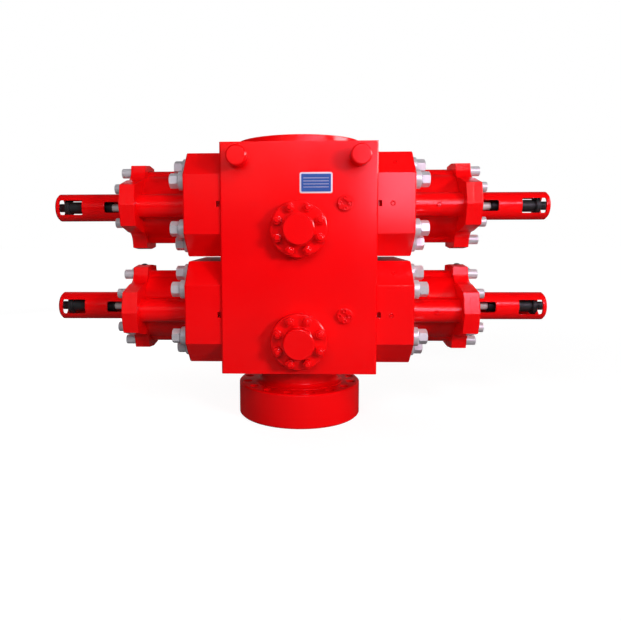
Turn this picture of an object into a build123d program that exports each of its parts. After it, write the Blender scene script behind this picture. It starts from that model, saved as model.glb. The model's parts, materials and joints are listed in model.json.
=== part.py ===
from build123d import *
import math
import os

# Double ram blowout preventer, 11 in bore, studded on top and flanged below.
# Origin: centre of the bottom flange's lower face. +X runs along the ram axes, to the right
# as seen from the front, the front looks along -Y, +Z is up the wellbore. Millimetres.

# Wellbore and its end connections
BORE_R = 139.7
FLANGE_OD = 654.0
FLANGE_THICK = 175.0
FLANGE_CHAMFER = 6.0
BOLT_EDGE_DISTANCE = 44.425
BOLT_COUNT = 16
BOLT_HOLE_R = 23.8
STUD_HOLE_R = 22.2
STUD_HOLE_DEPTH = 82.0
RING_GROOVE_OUTER_R = 178.4
RING_GROOVE_WIDTH = 20.0
RING_GROOVE_DEPTH = 14.3
NECK_R = 206.0
NECK_LENGTH = 120.0
NECK_FILLET = 28.0
NECK_FLARE = 22.0
NECK_FOOT_REACH = 30.0
NECK_FOOT_EDGE = 3.0

# Forged body block
BLOCK_WIDTH = 746.0
BLOCK_DEPTH = 760.0
BLOCK_HEIGHT = 1107.0
BLOCK_EDGE = 6.0
TOP_BOSS_HEIGHT = 41.0

# Ram bores through the block
LOWER_RAM_Z = 580.0
RAM_SPACING = 533.0
CAVITY_WIDTH = 340.0
CAVITY_HEIGHT = 150.0

# Side outlets and their blind flanges
OUTLET_DROP = 120.0
OUTLET_BORE_R = 38.9
OUTLET_FLANGE_R = 135.0
OUTLET_FLANGE_THICK = 58.0
OUTLET_HUB_R = 74.0
OUTLET_HUB_HEIGHT = 60.0
OUTLET_EDGE = 5.0

# Lifting bosses and port covers on the front and rear faces
LIFT_BOSS_R = 47.5
LIFT_BOSS_LENGTH = 95.0
LIFT_BOSS_FROM_SIDE = 88.0
LIFT_BOSS_BELOW_TOP = 73.0
LIFT_BOSS_EDGE = 6.0
PORT_COVER_R = 37.5
PORT_COVER_THICK = 12.0
PORT_COVER_FROM_SIDE = 155.0
PORT_COVER_RECESS_R = 11.0

# Bonnets, eight-sided plates that close the ram bores
BONNET_THICK = 180.0
BONNET_HALF_DEPTH = 365.0
BONNET_HALF_HEIGHT = 254.5
BONNET_CORNER_DEPTH = 114.0
BONNET_CORNER_HEIGHT = 112.0
BONNET_EDGE = 5.0
PRY_SLOT_LENGTH = 20.0
PRY_SLOT_HEIGHT = 27.0
PRY_SLOT_DEPTH = 45.0

# Hydraulic cylinders, a round barrel with four ribs
CYLINDER_LENGTH = 283.0
BARREL_R = 170.0
CYLINDER_BORE_R = 130.0
RIB_THICK = 118.0
RIB_REACH_SIDE = 270.0
RIB_REACH_TOP = 193.0
RIB_ROOT_FILLET = 14.0
CYLINDER_FLANGE_THICK = 32.0

# Cylinder heads, cross-shaped plates with a blunt prow on each ear
HEAD_THICK = 45.0
HEAD_PROW_Y = 318.0
HEAD_EAR_Y = 290.0
HEAD_EAR_Z = 102.0
HEAD_SHOULDER_Y = 180.0
HEAD_SHOULDER_Z = 131.0
HEAD_ROOT_Y = 102.0
HEAD_ROOT_Z = 141.0
HEAD_ROOT_FILLET = 60.0
HEAD_TOP_Y = 87.0
HEAD_TOP_Z = 215.0
HEAD_PROW_Z = 224.0
HEAD_EDGE = 3.0
HEAD_POCKET_R = 38.0
HEAD_POCKET_DEPTH = 25.0

# Lock-screw tubes: an outer window cut through both walls, an inner one through the front wall
TUBE_R = 73.2
TUBE_WALL = 11.2
TUBE_LENGTH = 422.5
TUBE_EDGE = 9.0
OUTER_WINDOW_END = 22.5
OUTER_WINDOW_LENGTH = 124.0
OUTER_WINDOW_HEIGHT = 77.0
INNER_WINDOW_START = 64.0
INNER_WINDOW_LENGTH = 92.0
INNER_WINDOW_HEIGHT = 57.0
INNER_WINDOW_CORNER = 10.0
OUTER_WINDOW_CORNER = 6.0

# Rams, rods and lock shafts, all drawn with the rams open
RAM_SETBACK = 5.3
RAM_REAR_GAP = 21.0
PACKER_PROUD = 3.0
PACKER_HEIGHT = 62.0
PACKER_DEPTH = 55.0
TOP_SEAL_X = 86.0
TOP_SEAL_WIDTH = 22.0
TOP_SEAL_DEPTH = 16.0
ROD_R = 45.0
ROD_NECK_R = 32.0
ROD_NECK_LENGTH = 26.0
BUTTON_R = 55.0
BUTTON_THICK = 30.0
PISTON_THICK = 60.0
PISTON_STOP_GAP = 5.0
TAIL_R = 22.5
TAIL_STICK_OUT = 132.0
TAIL_EDGE = 3.0
LOCK_SHAFT_R = 32.0
LOCK_COLLAR_R = 46.0
LOCK_COLLAR_THICK = 24.0
LOCK_COLLAR_EDGE = 3.0
LOCK_DRIVE_R = 22.5
LOCK_DRIVE_LENGTH = 38.0
LOCK_DRIVE_INSET = 1.5

# Running clearance, on the radius, of whatever slides in a bore or a slot
FIT = 0.3

# Places that follow from the sizes above
BOLT_CIRCLE = FLANGE_OD - 2 * BOLT_EDGE_DISTANCE
BLOCK_Z = FLANGE_THICK + NECK_LENGTH
BLOCK_TOP_Z = BLOCK_Z + BLOCK_HEIGHT
TOP_FACE_Z = BLOCK_TOP_Z + TOP_BOSS_HEIGHT
FRONT_Y = BLOCK_DEPTH / 2
BONNET_X = BLOCK_WIDTH / 2
CYLINDER_X = BONNET_X + BONNET_THICK
HEAD_X = CYLINDER_X + CYLINDER_LENGTH
TUBE_X = HEAD_X + HEAD_THICK
TUBE_END_X = TUBE_X + TUBE_LENGTH
RAM_OPEN_X = BORE_R + RAM_SETBACK
RAM_FACE_X = RAM_OPEN_X + PACKER_PROUD
RAM_REAR_X = BONNET_X - RAM_REAR_GAP
PISTON_END_X = HEAD_X - CYLINDER_FLANGE_THICK - PISTON_STOP_GAP
TAIL_END_X = TUBE_X + TAIL_STICK_OUT
RAM_HALF_WIDTH = CAVITY_WIDTH / 2 - FIT
RAM_HALF_HEIGHT = CAVITY_HEIGHT / 2 - FIT

LEVELS = {"upper": LOWER_RAM_Z + RAM_SPACING, "lower": LOWER_RAM_Z}
SIDES = ("left", "right")
FACES = {"front": 0.0, "rear": 180.0}


def across(x):
    """A plane square to the ram axis; its own x is +Y and its own y is +Z."""
    return Plane.YZ.offset(x)


def bar(radius, x_start, x_end):
    """A round bar along the ram axis."""
    return extrude(across(x_start) * Circle(radius), x_end - x_start)


def slotted(width, height, x_start, x_end):
    """A bar with round sides, wider in Y than in Z."""
    return extrude(across(x_start) * SlotOverall(width, height), x_end - x_start)


def upright(radius, z_start, z_end):
    """A round bar up the wellbore axis."""
    return Pos(0, 0, z_start) * extrude(Circle(radius), z_end - z_start)


def ring_groove(z_start, z_end):
    outer = upright(RING_GROOVE_OUTER_R, z_start, z_end)
    return outer - upright(RING_GROOVE_OUTER_R - RING_GROOVE_WIDTH, z_start, z_end)


def bolt_holes(radius, z_start, z_end):
    """The ring of holes; they straddle the centre lines, as on all such flanges."""
    half_step = 180.0 / BOLT_COUNT
    ring = PolarLocations(BOLT_CIRCLE / 2, BOLT_COUNT, start_angle=half_step)
    holes = Sketch() + ring * Circle(radius)
    return Pos(0, 0, z_start) * extrude(holes, z_end - z_start)


def outlet_bore(ram_z):
    """One straight passage from the front face to the rear, below a pair of rams."""
    tool = Plane.XZ.offset(-FRONT_Y) * Circle(OUTLET_BORE_R)
    return Pos(0, 0, ram_z - OUTLET_DROP) * extrude(tool, BLOCK_DEPTH)


def make_body():
    block = Pos(0, 0, BLOCK_Z) * Box(
        BLOCK_WIDTH, BLOCK_DEPTH, BLOCK_HEIGHT, align=(Align.CENTER, Align.CENTER, Align.MIN)
    )
    block = chamfer(block.edges().filter_by(Axis.Z), BLOCK_EDGE)
    boss = upright(FLANGE_OD / 2, BLOCK_TOP_Z, TOP_FACE_Z)
    boss = chamfer(boss.faces().sort_by(Axis.Z)[-1].edges(), FLANGE_CHAMFER / 2)
    body = block + boss - upright(BORE_R, BLOCK_Z, TOP_FACE_Z)
    body -= ring_groove(TOP_FACE_Z - RING_GROOVE_DEPTH, TOP_FACE_Z)
    body -= bolt_holes(STUD_HOLE_R, TOP_FACE_Z - STUD_HOLE_DEPTH, TOP_FACE_Z)
    for ram_z in LEVELS.values():
        body -= Pos(0, 0, ram_z) * slotted(CAVITY_WIDTH, CAVITY_HEIGHT, -BONNET_X, BONNET_X)
        body -= outlet_bore(ram_z)
    return body


def make_bottom_flange():
    """A flat ring, drilled for the studs and grooved below for the gasket."""
    flange = upright(FLANGE_OD / 2, 0, FLANGE_THICK)
    flange = chamfer(flange.edges().filter_by(GeomType.CIRCLE), FLANGE_CHAMFER)
    flange -= upright(BORE_R, 0, FLANGE_THICK)
    flange -= ring_groove(0, RING_GROOVE_DEPTH)
    return flange - bolt_holes(BOLT_HOLE_R, 0, FLANGE_THICK)


def make_neck():
    """The turned neck between flange and block, with a round root and a flare on top."""
    foot_r = NECK_R + NECK_FOOT_REACH
    foot_z = FLANGE_THICK + NECK_FOOT_EDGE
    half_section = Polygon(
        (BORE_R, FLANGE_THICK),
        (foot_r, FLANGE_THICK),
        (foot_r, foot_z),
        (NECK_R, foot_z),
        (NECK_R, BLOCK_Z - NECK_FLARE),
        (NECK_R + NECK_FLARE, BLOCK_Z),
        (BORE_R, BLOCK_Z),
        align=None,
    )
    root = half_section.vertices().sort_by_distance(Vector(NECK_R, foot_z))[0]
    return revolve(Plane.XZ * fillet(root, NECK_FILLET), Axis.Z)


def bonnet_outline():
    """Eight-sided outline with the corners cut off."""
    y = BONNET_HALF_DEPTH
    z = BONNET_HALF_HEIGHT
    inner_y = y - BONNET_CORNER_DEPTH
    inner_z = z - BONNET_CORNER_HEIGHT
    points = [
        (y, -inner_z), (y, inner_z), (inner_y, z), (-inner_y, z),
        (-y, inner_z), (-y, -inner_z), (-inner_y, -z), (inner_y, -z),
    ]
    return Polygon(*points, align=None)


def make_bonnet():
    plate = extrude(across(BONNET_X) * bonnet_outline(), BONNET_THICK)
    plate = chamfer(plate.faces().sort_by(Axis.X)[-1].edges(), BONNET_EDGE)
    plate -= bar(ROD_R + FIT, BONNET_X, CYLINDER_X)
    for side in (-1, 1):
        slot = Box(
            PRY_SLOT_LENGTH, PRY_SLOT_DEPTH * 2, PRY_SLOT_HEIGHT,
            align=(Align.MIN, Align.CENTER, Align.CENTER),
        )
        plate -= Pos(BONNET_X, side * BONNET_HALF_DEPTH, 0) * slot
    return plate


def head_outline():
    """Cross-shaped outline: two long ears front and rear, two short ones above and below."""
    quarter = [
        (HEAD_EAR_Y, HEAD_EAR_Z),
        (HEAD_SHOULDER_Y, HEAD_SHOULDER_Z),
        (HEAD_ROOT_Y, HEAD_ROOT_Z),
        (HEAD_TOP_Y, HEAD_TOP_Z),
    ]
    half = [(HEAD_PROW_Y, 0)] + quarter + [(0, HEAD_PROW_Z)]
    half += [(-y, z) for y, z in reversed(quarter)]
    points = half + [(-y, -z) for y, z in half]
    outline = Polygon(*points, align=None)
    root_radius = math.hypot(HEAD_ROOT_Y, HEAD_ROOT_Z)
    roots = [v for v in outline.vertices() if abs(math.hypot(v.X, v.Y) - root_radius) < 0.01]
    return fillet(roots, HEAD_ROOT_FILLET)


def cylinder_outline():
    """Round barrel with ribs to the front, the rear, above and below."""
    outline = Circle(BARREL_R) + SlotOverall(2 * RIB_REACH_SIDE, RIB_THICK)
    outline += Rot(0, 0, 90) * SlotOverall(2 * RIB_REACH_TOP, RIB_THICK)
    roots = [v for v in outline.vertices() if abs(math.hypot(v.X, v.Y) - BARREL_R) < 0.01]
    return fillet(roots, RIB_ROOT_FILLET)


def make_cylinder():
    flange_x = HEAD_X - CYLINDER_FLANGE_THICK
    barrel = extrude(across(CYLINDER_X) * cylinder_outline(), flange_x - CYLINDER_X)
    flange = extrude(across(flange_x) * head_outline(), CYLINDER_FLANGE_THICK)
    return barrel + flange - bar(CYLINDER_BORE_R, CYLINDER_X, HEAD_X)


def make_cylinder_head():
    plate = extrude(across(HEAD_X) * head_outline(), HEAD_THICK)
    plate = chamfer(plate.faces().sort_by(Axis.X)[-1].edges(), HEAD_EDGE)
    spigot = bar(CYLINDER_BORE_R - FIT, HEAD_X - CYLINDER_FLANGE_THICK, HEAD_X)
    head = plate + spigot
    head -= bar(TAIL_R + FIT, HEAD_X - CYLINDER_FLANGE_THICK, TUBE_X)
    return head - bar(HEAD_POCKET_R, TUBE_X - HEAD_POCKET_DEPTH, TUBE_X)


def window(x_start, length, height, corner, depth):
    """A rounded rectangle cut into the tube from the front, as deep as given."""
    tool = Plane.XZ.offset(TUBE_R - depth) * RectangleRounded(length, height, corner)
    return Pos(x_start + length / 2, 0, 0) * extrude(tool, depth)


def make_lock_tube():
    tube = chamfer(bar(TUBE_R, TUBE_X, TUBE_END_X).edges().sort_by(Axis.X)[-1], TUBE_EDGE)
    tube -= bar(TUBE_R - TUBE_WALL, TUBE_X, TUBE_END_X)
    inner_start = TUBE_X + INNER_WINDOW_START
    tube -= window(
        inner_start, INNER_WINDOW_LENGTH, INNER_WINDOW_HEIGHT, INNER_WINDOW_CORNER, TUBE_R
    )
    outer_start = TUBE_END_X - OUTER_WINDOW_END - OUTER_WINDOW_LENGTH
    return tube - window(
        outer_start, OUTER_WINDOW_LENGTH, OUTER_WINDOW_HEIGHT, OUTER_WINDOW_CORNER, 2 * TUBE_R
    )


def make_top_seal():
    """The half hoop that lies in the top of a ram, from side to side."""
    x_start = RAM_OPEN_X + TOP_SEAL_X
    x_end = x_start + TOP_SEAL_WIDTH
    inner_half_width = RAM_HALF_WIDTH - TOP_SEAL_DEPTH
    inner_half_height = RAM_HALF_HEIGHT - TOP_SEAL_DEPTH
    hoop = slotted(2 * RAM_HALF_WIDTH, 2 * RAM_HALF_HEIGHT, x_start, x_end)
    hoop -= slotted(2 * inner_half_width, 2 * inner_half_height, x_start, x_end)
    upper_half = Pos((x_start + x_end) / 2, 0, RAM_HALF_HEIGHT) * Box(
        TOP_SEAL_WIDTH, CAVITY_WIDTH, 2 * RAM_HALF_HEIGHT
    )
    return hoop & upper_half


def make_face_packer():
    """The rubber across a ram's face, as wide as the ram."""
    rear = RAM_OPEN_X + PACKER_DEPTH
    slab = slotted(2 * RAM_HALF_WIDTH, 2 * RAM_HALF_HEIGHT, RAM_OPEN_X, rear)
    return slab & Box(2 * rear, CAVITY_WIDTH, PACKER_HEIGHT)


def make_ram_block():
    ram = slotted(2 * RAM_HALF_WIDTH, 2 * RAM_HALF_HEIGHT, RAM_FACE_X, RAM_REAR_X)
    ram -= make_face_packer()
    ram -= make_top_seal()
    slot_floor_z = -(BUTTON_R + FIT)
    neck_slot = Box(
        2 * ROD_NECK_LENGTH, 2 * (ROD_NECK_R + FIT), CAVITY_HEIGHT - slot_floor_z,
        align=(Align.CENTER, Align.CENTER, Align.MIN),
    )
    button_slot = Box(
        BUTTON_THICK + 2 * FIT, 2 * (BUTTON_R + FIT), CAVITY_HEIGHT - slot_floor_z,
        align=(Align.MAX, Align.CENTER, Align.MIN),
    )
    ram -= Pos(RAM_REAR_X, 0, slot_floor_z) * neck_slot
    return ram - Pos(RAM_REAR_X - ROD_NECK_LENGTH + FIT, 0, slot_floor_z) * button_slot


def make_piston_rod():
    """Button and neck in the ram's slot, rod, piston, and the tail that shows in the tube."""
    button_x = RAM_REAR_X - ROD_NECK_LENGTH - BUTTON_THICK
    neck_x = button_x + BUTTON_THICK
    rod = bar(BUTTON_R, button_x, neck_x)
    rod += bar(ROD_NECK_R, neck_x, RAM_REAR_X + FIT)
    rod += bar(ROD_R, RAM_REAR_X + FIT, PISTON_END_X)
    rod += bar(CYLINDER_BORE_R - FIT, PISTON_END_X - PISTON_THICK, PISTON_END_X)
    tail = bar(TAIL_R, PISTON_END_X, TAIL_END_X)
    return rod + chamfer(tail.edges().sort_by(Axis.X)[-1], TAIL_EDGE)


def make_lock_shaft():
    """Shaft, collar and the plain end that the hand wheel drives."""
    drive_end_x = TUBE_END_X - LOCK_DRIVE_INSET
    collar_end_x = drive_end_x - LOCK_DRIVE_LENGTH
    shaft = bar(LOCK_SHAFT_R, TAIL_END_X, collar_end_x)
    collar = bar(LOCK_COLLAR_R, collar_end_x - LOCK_COLLAR_THICK, collar_end_x)
    shaft += chamfer(collar.edges().filter_by(GeomType.CIRCLE), LOCK_COLLAR_EDGE)
    return shaft + bar(LOCK_DRIVE_R, collar_end_x, drive_end_x)


def stud_on_face(radius, length, edge):
    """A round piece that stands on the front face, its axis along Y, its base at y = -FRONT_Y."""
    piece = Plane.XZ.offset(FRONT_Y) * Circle(radius)
    piece = extrude(piece, length)
    return chamfer(piece.faces().sort_by(Axis.Y)[0].edges(), edge)


def make_outlet_flange():
    flange = stud_on_face(OUTLET_FLANGE_R, OUTLET_FLANGE_THICK, OUTLET_EDGE)
    hub = stud_on_face(OUTLET_HUB_R, OUTLET_FLANGE_THICK + OUTLET_HUB_HEIGHT, OUTLET_EDGE)
    return flange + hub


def make_lifting_boss():
    return stud_on_face(LIFT_BOSS_R, LIFT_BOSS_LENGTH, LIFT_BOSS_EDGE)


def make_port_cover():
    cover = stud_on_face(PORT_COVER_R, PORT_COVER_THICK, PORT_COVER_THICK / 6)
    recess = Plane.XZ.offset(FRONT_Y + PORT_COVER_THICK / 2) * Circle(PORT_COVER_RECESS_R)
    return cover - extrude(recess, PORT_COVER_THICK)


os.makedirs("parts", exist_ok=True)


def save(solids, node):
    result = solids[0] if len(solids) == 1 else Compound(children=solids)
    export_step(result, f"parts/{node}.step")


def on_side(solid, side, ram_z):
    """Right-hand pieces are drawn in place; left-hand ones mirror them."""
    turned = mirror(solid, about=Plane.YZ) if side == "left" else solid
    return (Pos(0, 0, ram_z) * turned).solids()[0]


def on_face(solid, face, x, z):
    """Pieces of the front face; the rear repeats them, turned about the wellbore."""
    return (Rot(0, 0, FACES[face]) * Pos(x, 0, z) * solid).solids()[0]


RAM_LINE = {
    "bonnet": [make_bonnet()],
    "cylinder": [make_cylinder()],
    "cylinder_head": [make_cylinder_head()],
    "lock_tube": [make_lock_tube()],
    "ram_block": [make_ram_block()],
    "ram_packer": [make_face_packer(), make_top_seal()],
    "piston_rod": [make_piston_rod()],
    "lock_shaft": [make_lock_shaft()],
}

save([make_body().solids()[0]], "body")
save([make_bottom_flange().solids()[0]], "bottom_flange")
save([make_neck().solids()[0]], "neck")
for level, ram_z in LEVELS.items():
    for side in SIDES:
        for name, solids in RAM_LINE.items():
            placed = [on_side(solid, side, ram_z) for solid in solids]
            save(placed, f"{name}_{level}_{side}")

outlet_flange = make_outlet_flange()
lifting_boss = make_lifting_boss()
port_cover = make_port_cover()
lift_x = BONNET_X - LIFT_BOSS_FROM_SIDE
lift_z = BLOCK_TOP_Z - LIFT_BOSS_BELOW_TOP
cover_x = BONNET_X - PORT_COVER_FROM_SIDE
for face in FACES:
    for level, ram_z in LEVELS.items():
        outlet = on_face(outlet_flange, face, 0, ram_z - OUTLET_DROP)
        save([outlet], f"outlet_flange_{level}_{face}")
    covers = [on_face(port_cover, face, cover_x, ram_z) for ram_z in LEVELS.values()]
    save(covers, f"port_covers_{face}")
    for side, x in zip(SIDES, (-lift_x, lift_x)):
        turned_x = x if face == "front" else -x
        save([on_face(lifting_boss, face, turned_x, lift_z)], f"lifting_boss_{face}_{side}")
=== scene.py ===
import json
import math

import bpy
from mathutils import Matrix, Vector


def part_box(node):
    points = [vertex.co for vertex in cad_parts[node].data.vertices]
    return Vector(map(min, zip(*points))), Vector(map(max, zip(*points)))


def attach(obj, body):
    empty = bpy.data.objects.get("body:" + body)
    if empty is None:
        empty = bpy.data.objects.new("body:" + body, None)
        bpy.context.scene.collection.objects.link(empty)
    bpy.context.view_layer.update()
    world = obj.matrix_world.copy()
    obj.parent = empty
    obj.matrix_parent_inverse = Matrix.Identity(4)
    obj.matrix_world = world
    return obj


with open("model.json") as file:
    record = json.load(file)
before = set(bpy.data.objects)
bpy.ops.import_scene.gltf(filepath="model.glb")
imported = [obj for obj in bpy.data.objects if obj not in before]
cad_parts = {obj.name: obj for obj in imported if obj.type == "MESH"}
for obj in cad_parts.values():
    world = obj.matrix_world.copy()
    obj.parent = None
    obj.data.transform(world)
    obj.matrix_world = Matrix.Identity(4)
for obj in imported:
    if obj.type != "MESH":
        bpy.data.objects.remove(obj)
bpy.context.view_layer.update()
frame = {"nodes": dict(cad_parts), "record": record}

# Finishes, nuts, screws, plugs and nameplate of a double ram blowout preventer, round its frame.
# Metres. +X runs along the ram axes, to the right seen from the front, -Y is the front, +Z is up.

LEVELS = ("upper", "lower")
SIDES = {"left": -1, "right": 1}
FACES = {"front": -1, "rear": 1}
HOUSING = "housing"

# Bonnet bolts: places are (towards front or rear, up or down) from the ram axis, turns in degrees
BONNET_BOLT_PLACES = ((0.285, 0.117), (0.165, 0.190))
BONNET_BOLT_FLATS = 0.065
BONNET_BOLT_HEIGHT = 0.044
BONNET_BOLT_TURNS = (4, -7, 9, -3, 6, -9, 2, 8)
BONNET_WASHER_R = 0.0465
BONNET_WASHER_EDGE = 0.006
BONNET_WASHER_THICK = 0.033

# Cap screws that hold the cylinder heads, placed the same way. The missing ones are given by
# (level, side, place, up or down), and are missing in front and behind.
HEAD_SCREW_PLACES = ((0.190, 0.086), (0.066, 0.176))
HEAD_SCREW_R = 0.025
HEAD_SCREW_HEIGHT = 0.050
HEAD_SCREW_SOCKET_FLATS = 0.022
HEAD_SCREW_TURN = 17
MISSING_HEAD_SCREWS = ("upper", "left", HEAD_SCREW_PLACES[1], -1)

# Studs and nuts of the side outlets
OUTLET_STUDS = 8
OUTLET_STUD_CIRCLE_R = 0.108
OUTLET_FLANGE_THICK = 0.058
OUTLET_NUT_FLATS = 0.041
OUTLET_NUT_HEIGHT = 0.025
OUTLET_NUT_TURNS = (0, 27, 9, 36, 18, 0, 27, 9)
OUTLET_STUD_R = 0.0127
OUTLET_STUD_END = 0.010

# Port covers
COVER_SCREWS = 4
COVER_SCREW_CIRCLE_R = 0.0245
COVER_SCREW_R = 0.0105
COVER_SCREW_HEIGHT = 0.014
COVER_SCREW_SOCKET_FLATS = 0.010

# Socket plugs on the bonnets, the cylinder ribs and the lower heads
BONNET_PLUG_R = 0.0125
BONNET_PLUG_FROM_BLOCK = 0.072
BONNET_PLUG_HEIGHT = 0.0035
FACET_PLUG_R = 0.012
FACET_PLUG_FROM_BLOCK = 0.088
BONNET_FACET = 0.113
RIB_PLUG_R = 0.013
RIB_PLUG_HEIGHT = 0.004
RIB_PLUG_SHARE = 0.46
RIB_REACH = 0.270
VENT_R = 0.016
VENT_HEIGHT = 0.009
VENT_PAST_CYLINDER = 0.010
VENT_SUNK = 0.003

# Blank nameplate on the front face
PLATE_WIDTH = 0.154
PLATE_HEIGHT = 0.098
PLATE_CENTRE_X = 0.082
PLATE_CENTRE_Z = 1.209
PLATE_THICK = 0.0016
PLATE_RIM = 0.0075
PLATE_CORNER = 0.010
PLATE_RIVET_R = 0.0028
PLATE_RIVET_INSET = 0.6 * PLATE_RIM
PLATE_FIELD_THICK = 0.0006
PLATE_FIELD_CORNER = PLATE_CORNER / 2
PLATE_RULE_HEIGHT = 0.0018
PLATE_RULE_CORNER = PLATE_RULE_HEIGHT / 4
PLATE_RULE_THICK = PLATE_FIELD_THICK / 2
PLATE_RULES_Z = (0.022, 0.008, -0.006, -0.020)
PLATE_RULES_SHARE = 0.86

# The camera that took the photograph, fitted to its edges; angles in radians, lens and sensor in
# millimetres
CAMERA_PLACE = (0.0195, -3.0636, 0.9785)
CAMERA_YAW = -0.0367
CAMERA_PITCH = 0.0857
CAMERA_ROLL = -0.0034
CAMERA_LENS = 32.77
CAMERA_SENSOR = 36.0
CAMERA_SHIFT = (0.0458, -0.0480)

# Studio lamps: azimuth towards the right of the front, elevation, distance, (width, height),
# watts, colour, and whether they light the surfaces or show in their gloss
LAMP_TARGET = (0.0, 0.0, 0.85)
LAMPS = {
    "key_right": (41, 13, 6.5, (1.2, 0.9), 220, (1.0, 0.98, 0.98), "surface"),
    "key_high": (22, 34, 4.2, (1.0, 0.8), 42, (1.0, 0.98, 0.98), "surface"),
    "left_fill": (-18, 22, 4.8, (3.0, 2.4), 85, (1.0, 1.0, 1.0), "surface"),
    "top_soft": (10, 80, 3.4, (2.6, 2.2), 8, (1.0, 1.0, 1.0), "surface"),
    "low_right": (68, 2, 7.0, (1.6, 1.0), 98, (1.0, 0.98, 0.98), "surface"),
    "sheen_low": (20, 9, 4.2, (1.3, 0.7), 16, (1.0, 0.72, 1.0), "gloss"),
    "sheen_high": (9, 25, 4.2, (1.6, 0.45), 52, (1.0, 0.72, 1.0), "gloss"),
    "sheen_strip": (32, 20, 4.2, (1.4, 0.25), 18, (1.0, 0.72, 1.0), "gloss"),
    "right_side": (78, 20, 3.2, (1.5, 0.8), 42, (1.0, 0.88, 0.96), "gloss"),
    "rear_fill": (-146, 20, 4.4, (2.4, 1.8), 125, (1.0, 1.0, 1.0), "surface"),
}

# Surroundings: strength on surfaces and in gloss, and the part of the sky that counts as behind
AMBIENT = 0.04
GLOSS_FRONT = 0.02
GLOSS_BEHIND = 0.10
BEHIND_START = 0.45
BEHIND_END = 0.95

# Floor: greys under the lamps and in gloss, and its lift near the object and far from it
FLOOR_REACH = 30.0
FLOOR_ROUGHNESS = 0.9
FLOOR_GREY = 0.22
FLOOR_NEAR_LIFT = 0.86
FLOOR_FAR_LIFT = 1.0
FLOOR_NEAR = 2.0
FLOOR_FAR = 6.0
FLOOR_GLOSS_GREY = 0.06

# Colours, linear
WHITE = (1.0, 1.0, 1.0, 1.0)
PAINT_RED = (0.90, 0.0012, 0.0028)
PAINT_DEEP_RED = (0.82, 0.0010, 0.0022)
ZINC_LIGHT = (0.72, 0.70, 0.75)
ZINC_DULL = (0.59, 0.57, 0.62)
BLACK_OXIDE = (0.018, 0.020, 0.022)
BLACK_WORN = (0.050, 0.055, 0.057)
CHROME = (0.72, 0.69, 0.69)
CHROME_WORN = (0.58, 0.55, 0.55)
STEEL = (0.42, 0.42, 0.43)
STEEL_DARK = (0.27, 0.26, 0.26)
RUBBER = (0.016, 0.016, 0.017)
RUBBER_DUSTY = (0.040, 0.039, 0.038)
PLATE_BLUE = (0.016, 0.065, 0.28)
PLATE_BLUE_PALE = (0.032, 0.095, 0.34)


# Materials

# The part of the noise's range that counts, how many cells of gloss go to one of colour, the
# grain's detail, its depth in shares of its cell, and the samples of a softened edge
PATCH_RANGE = (0.2, 0.8)
GLOSS_CELLS = 3.1
GRAIN_DETAIL = 1.5
GRAIN_DEPTH = 0.1
EDGE_SAMPLES = 4


def link(tree, output, target):
    tree.links.new(output, target)


def object_noise(tree, scale, detail):
    """Noise fixed to the object, so many cells to the metre."""
    coordinates = tree.nodes.new("ShaderNodeTexCoord")
    noise = tree.nodes.new("ShaderNodeTexNoise")
    noise.inputs["Scale"].default_value = scale
    noise.inputs["Detail"].default_value = detail
    link(tree, coordinates.outputs["Object"], noise.inputs["Vector"])
    return noise.outputs["Fac"]


def spread(tree, value, low, high, start, end):
    """Maps a value between start and end to a number between low and high."""
    ramp = tree.nodes.new("ShaderNodeMapRange")
    ramp.inputs["From Min"].default_value = start
    ramp.inputs["From Max"].default_value = end
    ramp.inputs["To Min"].default_value = low
    ramp.inputs["To Max"].default_value = high
    link(tree, value, ramp.inputs["Value"])
    return ramp.outputs["Result"]


def blend_colours(tree, factor, first, second):
    """Mixes two colours by a factor that comes from another node."""
    mix = tree.nodes.new("ShaderNodeMix")
    mix.data_type = "RGBA"
    mix.inputs["A"].default_value = (*first, 1)
    mix.inputs["B"].default_value = (*second, 1)
    link(tree, factor, mix.inputs["Factor"])
    return mix.outputs["Result"]


def bumped(tree, height, depth, strength, edge_radius):
    """A bump of the given depth in metres, over edges softened by the given radius, if any."""
    bump = tree.nodes.new("ShaderNodeBump")
    bump.inputs["Distance"].default_value = depth
    bump.inputs["Strength"].default_value = strength
    link(tree, height, bump.inputs["Height"])
    if edge_radius:
        bevel = tree.nodes.new("ShaderNodeBevel")
        bevel.samples = EDGE_SAMPLES
        bevel.inputs["Radius"].default_value = edge_radius
        link(tree, bevel.outputs["Normal"], bump.inputs["Normal"])
    return bump.outputs["Normal"]


def finish(name, colours, roughness, patch, grain, metallic=0.0, edge=0.0, level=0.5,
           patch_detail=3.0):
    """A surface of two close colours in patches, with a roughness range and a fine grain.

    patch and grain are (cells to the metre, strength), edge is the radius of softened edges.
    """
    material = bpy.data.materials.new(name)
    material.use_nodes = True
    tree = material.node_tree
    shader = tree.nodes["Principled BSDF"]
    patches = object_noise(tree, patch[0], patch_detail)
    factor = spread(tree, patches, 0.0, patch[1], *PATCH_RANGE)
    link(tree, blend_colours(tree, factor, *colours), shader.inputs["Base Color"])
    gloss = object_noise(tree, patch[0] * GLOSS_CELLS, patch_detail)
    link(tree, spread(tree, gloss, *roughness, *PATCH_RANGE), shader.inputs["Roughness"])
    peel = object_noise(tree, grain[0], GRAIN_DETAIL)
    depth = GRAIN_DEPTH / grain[0]
    link(tree, bumped(tree, peel, depth, grain[1], edge), shader.inputs["Normal"])
    shader.inputs["Metallic"].default_value = metallic
    shader.inputs["Specular IOR Level"].default_value = level
    return material


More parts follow.
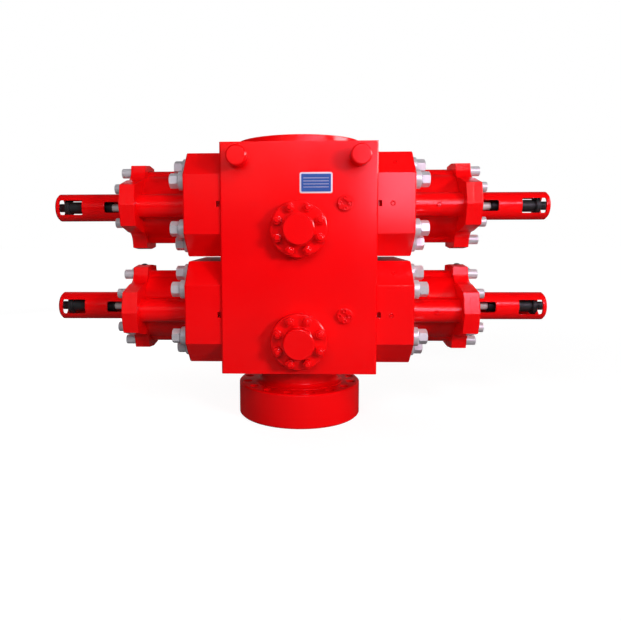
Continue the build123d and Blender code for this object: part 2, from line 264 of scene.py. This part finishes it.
FINISHES = {
    "red_paint": dict(
        colours=(PAINT_RED, PAINT_DEEP_RED), roughness=(0.17, 0.20), patch=(3.0, 0.8),
        grain=(60.0, 0.02), edge=0.0030, patch_detail=0.0,
    ),
    "zinc_steel": dict(
        colours=(ZINC_LIGHT, ZINC_DULL), roughness=(0.26, 0.36), patch=(28.0, 0.8),
        grain=(420.0, 0.05), metallic=0.38, edge=0.0012,
    ),
    "black_steel": dict(
        colours=(BLACK_OXIDE, BLACK_WORN), roughness=(0.34, 0.46), patch=(22.0, 0.8),
        grain=(420.0, 0.10), metallic=0.4, edge=0.0015,
    ),
    "rod_steel": dict(
        colours=(CHROME, CHROME_WORN), roughness=(0.34, 0.44), patch=(30.0, 0.7),
        grain=(600.0, 0.04), metallic=0.15, edge=0.0012,
    ),
    "ram_steel": dict(
        colours=(STEEL, STEEL_DARK), roughness=(0.30, 0.46), patch=(16.0, 0.8),
        grain=(380.0, 0.15), metallic=0.9,
    ),
    "rubber": dict(
        colours=(RUBBER, RUBBER_DUSTY), roughness=(0.62, 0.80), patch=(24.0, 0.8),
        grain=(450.0, 0.4),
    ),
    "nameplate": dict(
        colours=(PLATE_BLUE, PLATE_BLUE_PALE), roughness=(0.44, 0.54), patch=(60.0, 0.8),
        grain=(900.0, 0.05), level=0.2,
    ),
}
MATERIALS = {name: finish(name, **values) for name, values in FINISHES.items()}


def dress_frame():
    """Gives every CAD node the finish of its material slot."""
    for part in frame["record"]["subparts"]:
        node = frame["nodes"][part["node"]]
        node.data.materials.clear()
        node.data.materials.append(MATERIALS[part["material_slot"]])


# Shapes: each is (vertices, faces), standing on z = 0 and pointing along +Z

SEGMENTS = 48
SHARP_ANGLE = 28

# A hexagon nut or head, in shares of its size across flats
HEX_SEAT_R = 0.46
HEX_SEAT_HEIGHT = 0.03
HEX_FOOT_R = 0.49
HEX_CONE_R = 0.47
HEX_TOP_R = 0.44
HEX_CONE_SLOPE = math.tan(math.radians(30))

# A stud's end: pitch in metres, where its crest starts and ends in a pitch, and its foot, thread
# root and tip in shares of its radius
THREAD_PITCH = 0.0030
THREAD_CREST = (0.4, 0.6)
STUD_FOOT_R = 0.94
THREAD_ROOT_R = 0.93
STUD_TIP_R = 0.80

# A cap screw: edge and socket in shares of its radius, lead and depth in shares of its height
CAP_EDGE = 0.10
CAP_SOCKET_RIM_R = 0.58
CAP_SOCKET_POINT_R = 0.2
CAP_SOCKET_LEAD = 0.03
CAP_SOCKET_DEPTH = 0.45

# A socket plug: flats and radii in shares of its radius, levels in shares of its height
PLUG_SOCKET_FLATS = 1.15
PLUG_TOP_R = 0.88
PLUG_SOCKET_RIM_R = 0.74
PLUG_EDGE_LEVEL = 0.4
PLUG_LEAD_LEVEL = 0.9
PLUG_FLOOR_LEVEL = 0.1

# Where a domed plug's dome starts, in its height, and the steps of round edges
DOME_START = 0.3
DOME_STEPS = 7
WASHER_EDGE_STEPS = 6
PLATE_CORNER_STEPS = 8

# A plate's edge is upright up to this share of its thickness, then draws in by the other
PLATE_UPRIGHT = 0.7
PLATE_DRAW_IN = 0.6


def hexagon(flats):
    """Radius at an angle of a hexagon of this size across its flats."""
    def radius(angle):
        within = (angle + math.pi / 6) % (math.pi / 3) - math.pi / 6
        return flats / 2 / math.cos(within)
    return radius


def stack(rings):
    """A closed skin through rings of (radius, height); either may be a function of the angle."""
    count = SEGMENTS
    vertices = []
    for radius, height in rings:
        for step in range(count):
            angle = 2 * math.pi * step / count
            reach = radius(angle) if callable(radius) else radius
            rise = height(angle) if callable(height) else height
            vertices.append((reach * math.cos(angle), reach * math.sin(angle), rise))
    faces = [tuple(reversed(range(count)))]
    for ring in range(len(rings) - 1):
        for step in range(count):
            following = (step + 1) % count
            low = ring * count
            high = low + count
            faces.append((low + step, low + following, high + following, high + step))
    faces.append(tuple(range(len(vertices) - count, len(vertices))))
    return vertices, faces


def chamfer_line(flats, top, away):
    """Height at an angle where a 30 degree cone cuts a hexagon's side, near its end."""
    corner = hexagon(flats)
    cone_start = HEX_CONE_R * flats

    def height(angle):
        return top - away * (corner(angle) - cone_start) * HEX_CONE_SLOPE
    return height


def hex_head(flats, height):
    """A nut or bolt head with a washer face below and its corners turned off at both ends."""
    sides = hexagon(flats)
    lift = HEX_SEAT_HEIGHT * flats
    return stack([
        (HEX_SEAT_R * flats, 0.0),
        (HEX_SEAT_R * flats, lift),
        (HEX_FOOT_R * flats, lift),
        (sides, chamfer_line(flats, lift, -1)),
        (sides, chamfer_line(flats, height, 1)),
        (HEX_CONE_R * flats, height),
        (HEX_TOP_R * flats, height),
    ])


def stud_end(radius, base, length):
    """The threaded end that stands out of a nut, its tip chamfered and its flanks grooved."""
    rings = [(STUD_FOOT_R * radius, base)]
    for turn in range(int(length / THREAD_PITCH)):
        foot = base + turn * THREAD_PITCH
        for share in THREAD_CREST:
            rings.append((radius, foot + share * THREAD_PITCH))
        rings.append((THREAD_ROOT_R * radius, foot + THREAD_PITCH))
    rings.append((STUD_TIP_R * radius, base + length))
    return stack(rings)


def thick_washer():
    """A bonnet washer: a plain thick disc with a round upper edge."""
    edge = BONNET_WASHER_EDGE
    foot = edge / 3
    inner = BONNET_WASHER_R - edge
    lift = BONNET_WASHER_THICK - edge
    rings = [(BONNET_WASHER_R - foot, 0.0), (BONNET_WASHER_R, foot)]
    for step in range(WASHER_EDGE_STEPS + 1):
        angle = step / WASHER_EDGE_STEPS * math.pi / 2
        rings.append((inner + edge * math.cos(angle), lift + edge * math.sin(angle)))
    return stack(rings)


def cap_screw(radius, height, socket_flats):
    """A socket head cap screw with a hexagonal socket."""
    edge = CAP_EDGE * radius
    socket = hexagon(socket_flats)
    depth = CAP_SOCKET_DEPTH * height
    return stack([
        (radius - edge / 2, 0.0),
        (radius, edge / 2),
        (radius, height - edge),
        (radius - edge, height),
        (CAP_SOCKET_RIM_R * radius, height),
        (socket, height - CAP_SOCKET_LEAD * height),
        (socket, height - depth),
        (CAP_SOCKET_POINT_R * radius, height - depth),
    ])


def socket_plug(radius, height):
    """A low round plug with a hexagonal socket."""
    socket = hexagon(PLUG_SOCKET_FLATS * radius)
    return stack([
        (radius, 0.0),
        (radius, PLUG_EDGE_LEVEL * height),
        (PLUG_TOP_R * radius, height),
        (PLUG_SOCKET_RIM_R * radius, height),
        (socket, PLUG_LEAD_LEVEL * height),
        (socket, PLUG_FLOOR_LEVEL * height),
    ])


def domed_plug(radius, height):
    """A round plug with a domed top."""
    rings = [(radius, 0.0), (radius, DOME_START * height)]
    for step in range(1, DOME_STEPS):
        angle = step / DOME_STEPS * math.pi / 2
        level = DOME_START + (1 - DOME_START) * math.sin(angle)
        rings.append((radius * math.cos(angle), height * level))
    return stack(rings)


def seat(place, direction, spin=0.0):
    """Stands a shape on a place, pointing in a direction and turned about it by spin."""
    turn = Vector(direction).to_track_quat("Z", "Y").to_matrix().to_4x4()
    return Matrix.Translation(place) @ turn @ Matrix.Rotation(spin, 4, "Z")


def make_piece(name, placed_shapes, slot, body=HOUSING):
    """Joins placed shapes into one piece that rides on a body."""
    vertices = []
    faces = []
    for (points, loops), matrix in placed_shapes:
        first = len(vertices)
        vertices.extend(matrix @ Vector(point) for point in points)
        faces.extend(tuple(first + index for index in loop) for loop in loops)
    mesh = bpy.data.meshes.new(name)
    mesh.from_pydata(vertices, [], faces)
    mesh.validate()
    mesh.shade_smooth()
    mesh.set_sharp_from_angle(angle=math.radians(SHARP_ANGLE))
    mesh.materials.append(MATERIALS[slot])
    piece = bpy.data.objects.new(name, mesh)
    bpy.context.scene.collection.objects.link(piece)
    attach(piece, body)


# Places read from the frame

def ram_axis_z(level):
    """How high the axis of a level's rams is."""
    low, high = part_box(f"lock_tube_{level}_right")
    return (low.z + high.z) / 2


def outer_x(node, side):
    """How far out the end face of a node stands, on the node's own side."""
    low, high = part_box(node)
    return high.x if side > 0 else low.x


def mirrored(places):
    """Each place of a quadrant in all four, as (y, z, front or rear, up or down)."""
    for y, z in places:
        for face in FACES.values():
            for rise in (1, -1):
                yield y, z, face, rise


# Pieces

def make_bonnet_bolts(level, side_name):
    """Thick washers on the end face of a bonnet, with a nut on each."""
    side = SIDES[side_name]
    name = f"{level}_{side_name}"
    x = outer_x(f"bonnet_{name}", side)
    axis_z = ram_axis_z(level)
    direction = (side, 0, 0)
    heads = []
    washers = []
    for number, (y, z, face, rise) in enumerate(mirrored(BONNET_BOLT_PLACES)):
        place = Vector((x, face * y, axis_z + rise * z))
        spin = math.radians(BONNET_BOLT_TURNS[number])
        washers.append((thick_washer(), seat(place, direction)))
        head_place = place + Vector(direction) * BONNET_WASHER_THICK
        heads.append((hex_head(BONNET_BOLT_FLATS, BONNET_BOLT_HEIGHT),
                      seat(head_place, direction, spin)))
    make_piece(f"bonnet_washers_{name}", washers, "zinc_steel")
    make_piece(f"bonnet_bolts_{name}", heads, "zinc_steel")


def make_head_screws(level, side_name):
    """Cap screws on the ears of a cylinder head."""
    side = SIDES[side_name]
    name = f"{level}_{side_name}"
    x = outer_x(f"cylinder_head_{name}", side)
    axis_z = ram_axis_z(level)
    screws = []
    for number, (y, z, face, rise) in enumerate(mirrored(HEAD_SCREW_PLACES)):
        if (level, side_name, (y, z), rise) == MISSING_HEAD_SCREWS:
            continue
        shape = cap_screw(HEAD_SCREW_R, HEAD_SCREW_HEIGHT, HEAD_SCREW_SOCKET_FLATS)
        place = (x, face * y, axis_z + rise * z)
        spin = math.radians(HEAD_SCREW_TURN * number)
        screws.append((shape, seat(place, (side, 0, 0), spin)))
    make_piece(f"head_screws_{name}", screws, "zinc_steel")


def make_outlet_nuts(level, face_name):
    """Nuts round the hub of a side outlet, with the stud ends that stand out of them."""
    face = FACES[face_name]
    low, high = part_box(f"outlet_flange_{level}_{face_name}")
    centre_x = (low.x + high.x) / 2
    centre_z = (low.z + high.z) / 2
    root_y = high.y if face < 0 else low.y
    y = root_y + face * OUTLET_FLANGE_THICK
    direction = (0, face, 0)
    shapes = []
    for number in range(OUTLET_STUDS):
        angle = 2 * math.pi * (number + 0.5) / OUTLET_STUDS
        place = (centre_x + OUTLET_STUD_CIRCLE_R * math.cos(angle), y,
                 centre_z + OUTLET_STUD_CIRCLE_R * math.sin(angle))
        matrix = seat(place, direction, angle + math.radians(OUTLET_NUT_TURNS[number]))
        shapes.append((hex_head(OUTLET_NUT_FLATS, OUTLET_NUT_HEIGHT), matrix))
        shapes.append((stud_end(OUTLET_STUD_R, OUTLET_NUT_HEIGHT, OUTLET_STUD_END), matrix))
    make_piece(f"outlet_nuts_{level}_{face_name}", shapes, "red_paint")


def make_cover_screws(face_name):
    """Four cap screws on each port cover of a face."""
    face = FACES[face_name]
    low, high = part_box(f"port_covers_{face_name}")
    radius = (high.x - low.x) / 2
    x = (low.x + high.x) / 2
    y = low.y if face < 0 else high.y
    shapes = []
    for z in (low.z + radius, high.z - radius):
        for number in range(COVER_SCREWS):
            angle = 2 * math.pi * number / COVER_SCREWS
            place = (x + COVER_SCREW_CIRCLE_R * math.cos(angle), y,
                     z + COVER_SCREW_CIRCLE_R * math.sin(angle))
            screw = cap_screw(COVER_SCREW_R, COVER_SCREW_HEIGHT, COVER_SCREW_SOCKET_FLATS)
            shapes.append((screw, seat(place, (0, face, 0), angle)))
    make_piece(f"port_cover_screws_{face_name}", shapes, "red_paint")


def plug_face(side):
    """Plugs stand on the front of the right-hand pieces and on the rear of the left-hand ones."""
    return -side


def make_bonnet_plugs():
    """On each bonnet a plug in its upright face and one in its upper facet."""
    shapes = []
    for level in LEVELS:
        axis_z = ram_axis_z(level)
        for side_name, side in SIDES.items():
            face = plug_face(side)
            low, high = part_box(f"bonnet_{level}_{side_name}")
            block_x = low.x if side > 0 else high.x
            y = low.y if face < 0 else high.y
            place = (block_x + side * BONNET_PLUG_FROM_BLOCK, y, axis_z)
            plug = socket_plug(BONNET_PLUG_R, BONNET_PLUG_HEIGHT)
            shapes.append((plug, seat(place, (0, face, 0))))
            place = (
                block_x + side * FACET_PLUG_FROM_BLOCK,
                y - face * BONNET_FACET / 2,
                high.z - BONNET_FACET / 2,
            )
            plug = socket_plug(FACET_PLUG_R, BONNET_PLUG_HEIGHT)
            shapes.append((plug, seat(place, (0, face, 1))))
    make_piece("bonnet_plugs", shapes, "red_paint")


def make_rib_plugs():
    """One in the middle of each cylinder's side rib."""
    shapes = []
    for level in LEVELS:
        axis_z = ram_axis_z(level)
        for side_name, side in SIDES.items():
            face = plug_face(side)
            low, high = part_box(f"cylinder_{level}_{side_name}")
            inner = min(abs(low.x), abs(high.x))
            outer = max(abs(low.x), abs(high.x))
            place = (side * (inner + RIB_PLUG_SHARE * (outer - inner)), face * RIB_REACH, axis_z)
            shapes.append((socket_plug(RIB_PLUG_R, RIB_PLUG_HEIGHT), seat(place, (0, face, 0))))
    make_piece("rib_plugs", shapes, "red_paint")


def make_vents():
    """The plug on top of each lower cylinder head."""
    shapes = []
    for side_name, side in SIDES.items():
        top_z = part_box(f"cylinder_head_lower_{side_name}")[1].z
        x = side * (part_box("cylinder_lower_right")[1].x + VENT_PAST_CYLINDER)
        shapes.append((domed_plug(VENT_R, VENT_HEIGHT), seat((x, 0, top_z - VENT_SUNK), (0, 0, 1))))
    make_piece("head_vents", shapes, "black_steel")


def rounded_plate(width, height, corner, thick):
    """A thin plate with round corners, its top face a little smaller than its base."""
    steps = PLATE_CORNER_STEPS
    outline = []
    centres = [(1, 1), (-1, 1), (-1, -1), (1, -1)]
    for quarter, (right, up) in enumerate(centres):
        for step in range(steps + 1):
            angle = math.pi / 2 * (quarter + step / steps)
            outline.append((
                right * (width / 2 - corner) + corner * math.cos(angle),
                up * (height / 2 - corner) + corner * math.sin(angle),
            ))
    count = len(outline)
    vertices = [(x, y, 0.0) for x, y in outline]
    vertices += [(x, y, PLATE_UPRIGHT * thick) for x, y in outline]
    scale_x = 1 - PLATE_DRAW_IN * thick / width
    scale_y = 1 - PLATE_DRAW_IN * thick / height
    vertices += [(x * scale_x, y * scale_y, thick) for x, y in outline]
    faces = [tuple(reversed(range(count)))]
    for ring in range(2):
        for step in range(count):
            following = (step + 1) % count
            low = ring * count
            faces.append((low + step, low + following, low + count + following,
                          low + count + step))
    faces.append(tuple(range(2 * count, 3 * count)))
    return vertices, faces


def make_nameplate():
    """A blank plate: bright rim, blue field, a few empty ruled lines and four rivets."""
    face_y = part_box("body")[0].y
    plate = seat((PLATE_CENTRE_X, face_y, PLATE_CENTRE_Z), (0, -1, 0))
    rim = rounded_plate(PLATE_WIDTH, PLATE_HEIGHT, PLATE_CORNER, PLATE_THICK)
    make_piece("nameplate_rim", [(rim, plate)], "zinc_steel")
    field_width = PLATE_WIDTH - 2 * PLATE_RIM
    field_height = PLATE_HEIGHT - 2 * PLATE_RIM
    field = rounded_plate(field_width, field_height, PLATE_FIELD_CORNER, PLATE_FIELD_THICK)
    on_rim = plate @ Matrix.Translation((0, 0, PLATE_THICK))
    make_piece("nameplate_field", [(field, on_rim)], "nameplate")
    details = []
    rule = rounded_plate(PLATE_RULES_SHARE * field_width, PLATE_RULE_HEIGHT,
                         PLATE_RULE_CORNER, PLATE_RULE_THICK)
    for z in PLATE_RULES_Z:
        details.append((rule, on_rim @ Matrix.Translation((0, z, PLATE_FIELD_THICK))))
    for right in (-1, 1):
        for up in (-1, 1):
            corner = Matrix.Translation((
                right * (PLATE_WIDTH / 2 - PLATE_RIVET_INSET),
                up * (PLATE_HEIGHT / 2 - PLATE_RIVET_INSET),
                0,
            ))
            details.append((domed_plug(PLATE_RIVET_R, PLATE_THICK), on_rim @ corner))
    make_piece("nameplate_rules_and_rivets", details, "zinc_steel")


# Setting

def make_camera():
    """The photograph's own camera."""
    data = bpy.data.cameras.new("photo_camera")
    data.lens = CAMERA_LENS
    data.sensor_width = CAMERA_SENSOR
    data.shift_x, data.shift_y = CAMERA_SHIFT
    camera = bpy.data.objects.new("photo_camera", data)
    bpy.context.scene.collection.objects.link(camera)
    camera.matrix_world = (
        Matrix.Translation(CAMERA_PLACE)
        @ Matrix.Rotation(-CAMERA_YAW, 4, "Z")
        @ Matrix.Rotation(math.pi / 2 - CAMERA_PITCH, 4, "X")
        @ Matrix.Rotation(CAMERA_ROLL, 4, "Z")
    )
    bpy.context.scene.camera = camera


def make_lamp(name, azimuth, elevation, distance, size, watts, colour, lights):
    """A square-edged area lamp that points at the middle of the object."""
    data = bpy.data.lights.new(name, "AREA")
    data.shape = "RECTANGLE"
    data.size, data.size_y = size
    data.energy = watts
    data.color = colour
    lamp = bpy.data.objects.new(name, data)
    bpy.context.scene.collection.objects.link(lamp)
    across = distance * math.cos(math.radians(elevation))
    target = Vector(LAMP_TARGET)
    place = target + Vector((
        across * math.sin(math.radians(azimuth)),
        -across * math.cos(math.radians(azimuth)),
        distance * math.sin(math.radians(elevation)),
    ))
    aim = (target - place).to_track_quat("-Z", "Y")
    lamp.matrix_world = Matrix.Translation(place) @ aim.to_matrix().to_4x4()
    lamp.visible_diffuse = lights == "surface"
    lamp.visible_glossy = lights == "gloss"


def blend_numbers(tree, factor, first, second):
    """Mixes two numbers, either of which may come from another node."""
    mix = tree.nodes.new("ShaderNodeMix")
    link(tree, factor, mix.inputs["Factor"])
    for socket, value in (("A", first), ("B", second)):
        if isinstance(value, float):
            mix.inputs[socket].default_value = value
        else:
            link(tree, value, mix.inputs[socket])
    return mix.outputs["Result"]


def make_world():
    """White to the camera; in gloss, dark in front of the object and less so behind it."""
    world = bpy.data.worlds.new("studio")
    bpy.context.scene.world = world
    world.use_nodes = True
    tree = world.node_tree
    tree.nodes.clear()
    output = tree.nodes.new("ShaderNodeOutputWorld")
    background = tree.nodes.new("ShaderNodeBackground")
    background.inputs["Color"].default_value = WHITE
    coordinates = tree.nodes.new("ShaderNodeTexCoord")
    split = tree.nodes.new("ShaderNodeSeparateXYZ")
    link(tree, coordinates.outputs["Generated"], split.inputs["Vector"])
    behind = spread(tree, split.outputs["Y"], GLOSS_FRONT, GLOSS_BEHIND, BEHIND_START, BEHIND_END)
    path = tree.nodes.new("ShaderNodeLightPath")
    unseen = blend_numbers(tree, path.outputs["Is Glossy Ray"], AMBIENT, behind)
    strength = blend_numbers(tree, path.outputs["Is Camera Ray"], unseen, 1.0)
    link(tree, strength, background.inputs["Strength"])
    link(tree, background.outputs["Background"], output.inputs["Surface"])


def make_floor():
    """A grey floor that keeps the object's shadow, lifted to white where the camera sees it."""
    mesh = bpy.data.meshes.new("floor")
    reach = FLOOR_REACH
    mesh.from_pydata(
        [(-reach, -reach, 0), (reach, -reach, 0), (reach, reach, 0), (-reach, reach, 0)],
        [], [(0, 1, 2, 3)],
    )
    floor = bpy.data.objects.new("floor", mesh)
    bpy.context.scene.collection.objects.link(floor)
    material = bpy.data.materials.new("floor")
    material.use_nodes = True
    tree = material.node_tree
    shader = tree.nodes["Principled BSDF"]
    shader.inputs["Roughness"].default_value = FLOOR_ROUGHNESS
    shader.inputs["Specular IOR Level"].default_value = 0.0
    shader.inputs["Emission Color"].default_value = WHITE
    path = tree.nodes.new("ShaderNodeLightPath")
    grey = blend_colours(tree, path.outputs["Is Glossy Ray"], [FLOOR_GREY] * 3,
                         [FLOOR_GLOSS_GREY] * 3)
    link(tree, grey, shader.inputs["Base Color"])
    coordinates = tree.nodes.new("ShaderNodeTexCoord")
    away = tree.nodes.new("ShaderNodeVectorMath")
    away.operation = "LENGTH"
    link(tree, coordinates.outputs["Object"], away.inputs[0])
    lift = spread(tree, away.outputs["Value"], FLOOR_NEAR_LIFT, FLOOR_FAR_LIFT,
                  FLOOR_NEAR, FLOOR_FAR)
    shown = blend_numbers(tree, path.outputs["Is Camera Ray"], 0.0, lift)
    link(tree, shown, shader.inputs["Emission Strength"])
    mesh.materials.append(material)


make_camera()
dress_frame()
for level_name in LEVELS:
    for side_word in SIDES:
        make_bonnet_bolts(level_name, side_word)
        make_head_screws(level_name, side_word)
    for face_word in FACES:
        make_outlet_nuts(level_name, face_word)
for face_word in FACES:
    make_cover_screws(face_word)
make_bonnet_plugs()
make_rib_plugs()
make_vents()
make_nameplate()
make_world()
make_floor()
for lamp_name, lamp_values in LAMPS.items():
    make_lamp(lamp_name, *lamp_values)
bpy.context.scene.view_settings.view_transform = "Standard"
